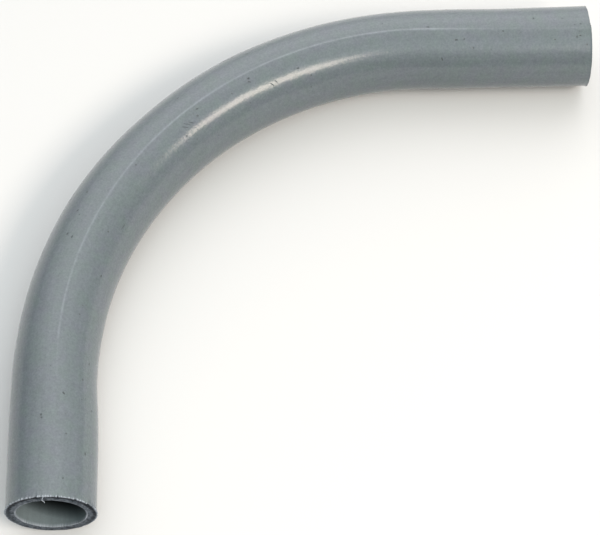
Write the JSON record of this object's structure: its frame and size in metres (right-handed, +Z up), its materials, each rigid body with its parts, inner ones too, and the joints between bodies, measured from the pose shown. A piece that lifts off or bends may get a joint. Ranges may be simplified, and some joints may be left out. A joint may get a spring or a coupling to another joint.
{
  "type": "pvc conduit elbow",
  "caption": "Right-angle elbow of rigid grey plastic conduit: a round tube bent in one sweep with plain sawn ends, which carries electrical cables round a corner.",
  "frame": {"origin": "on the surface the elbow lies on, under the middle of its footprint (the middle of its bounding box)", "axes": "+X along the upper leg towards its open end, -Y along the lower leg towards its open end, +Z up, across the bend plane, which is level"},
  "size_m": [0.1886, 0.176, 0.0272],
  "materials": {
    "grey_pvc": "blue-grey rigid PVC, satin, with extrusion streaks, dark specks and dull saw-cut ends"
  },
  "bodies": {
    "root": {"conduit_elbow": "grey_pvc"}
  },
  "joints": []
}
